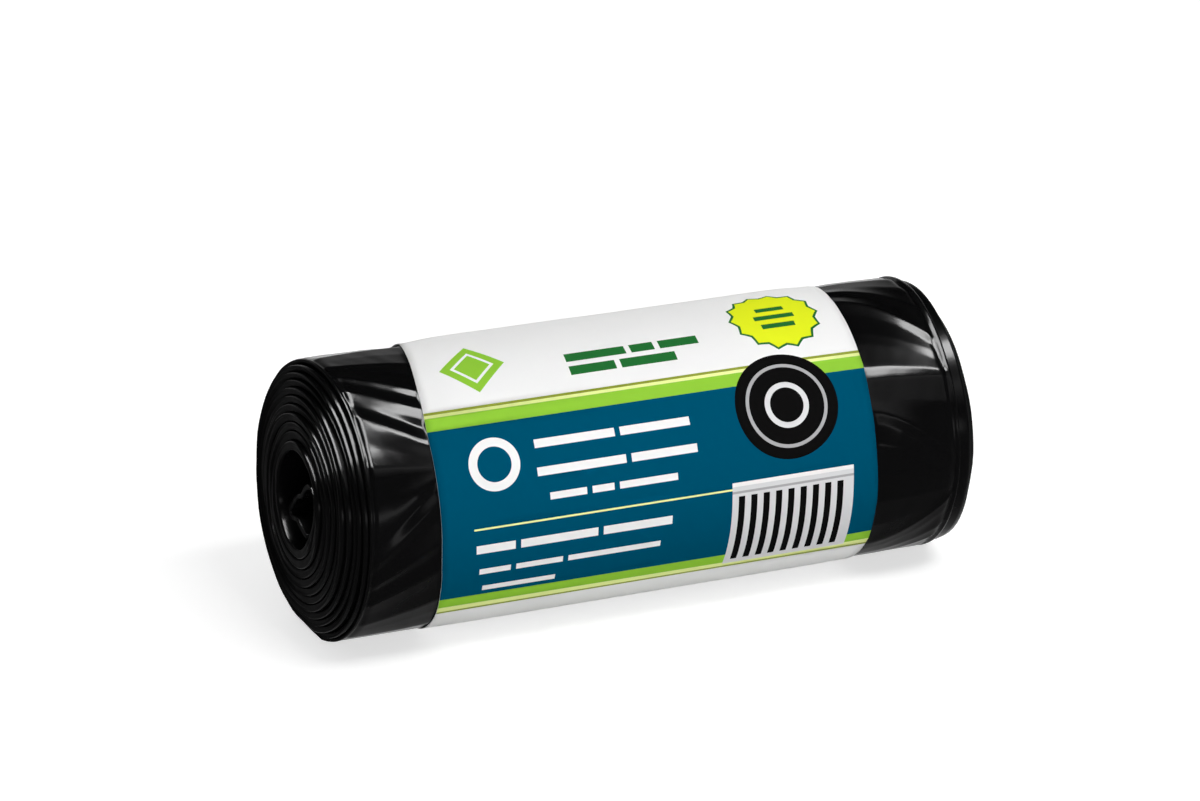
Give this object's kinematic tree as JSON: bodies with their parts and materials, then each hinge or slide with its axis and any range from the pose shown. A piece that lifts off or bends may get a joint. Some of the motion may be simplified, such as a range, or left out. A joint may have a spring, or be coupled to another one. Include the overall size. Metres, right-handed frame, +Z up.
{
  "type": "bin bag roll",
  "caption": "Coreless roll of black plastic sacks lying on a small flat, held shut by a striped paper band; its turns and open hollow show at both ends.",
  "frame": {"origin": "middle of the roll's length and width, on the plane that its flat rests on", "axes": "+X along the roll's axis, away from the end whose turns face the camera; +Z up; -Y towards the camera"},
  "size_m": [0.1954, 0.0806, 0.0797],
  "materials": {
    "sack_film": "thin glossy black polythene film with fine creases",
    "band_paper": "smooth white paper printed with a teal field between lime, pale yellow and olive stripes"
  },
  "bodies": {
    "root": {"bag_roll": "sack_film", "label_band": "band_paper"}
  },
  "joints": []
}
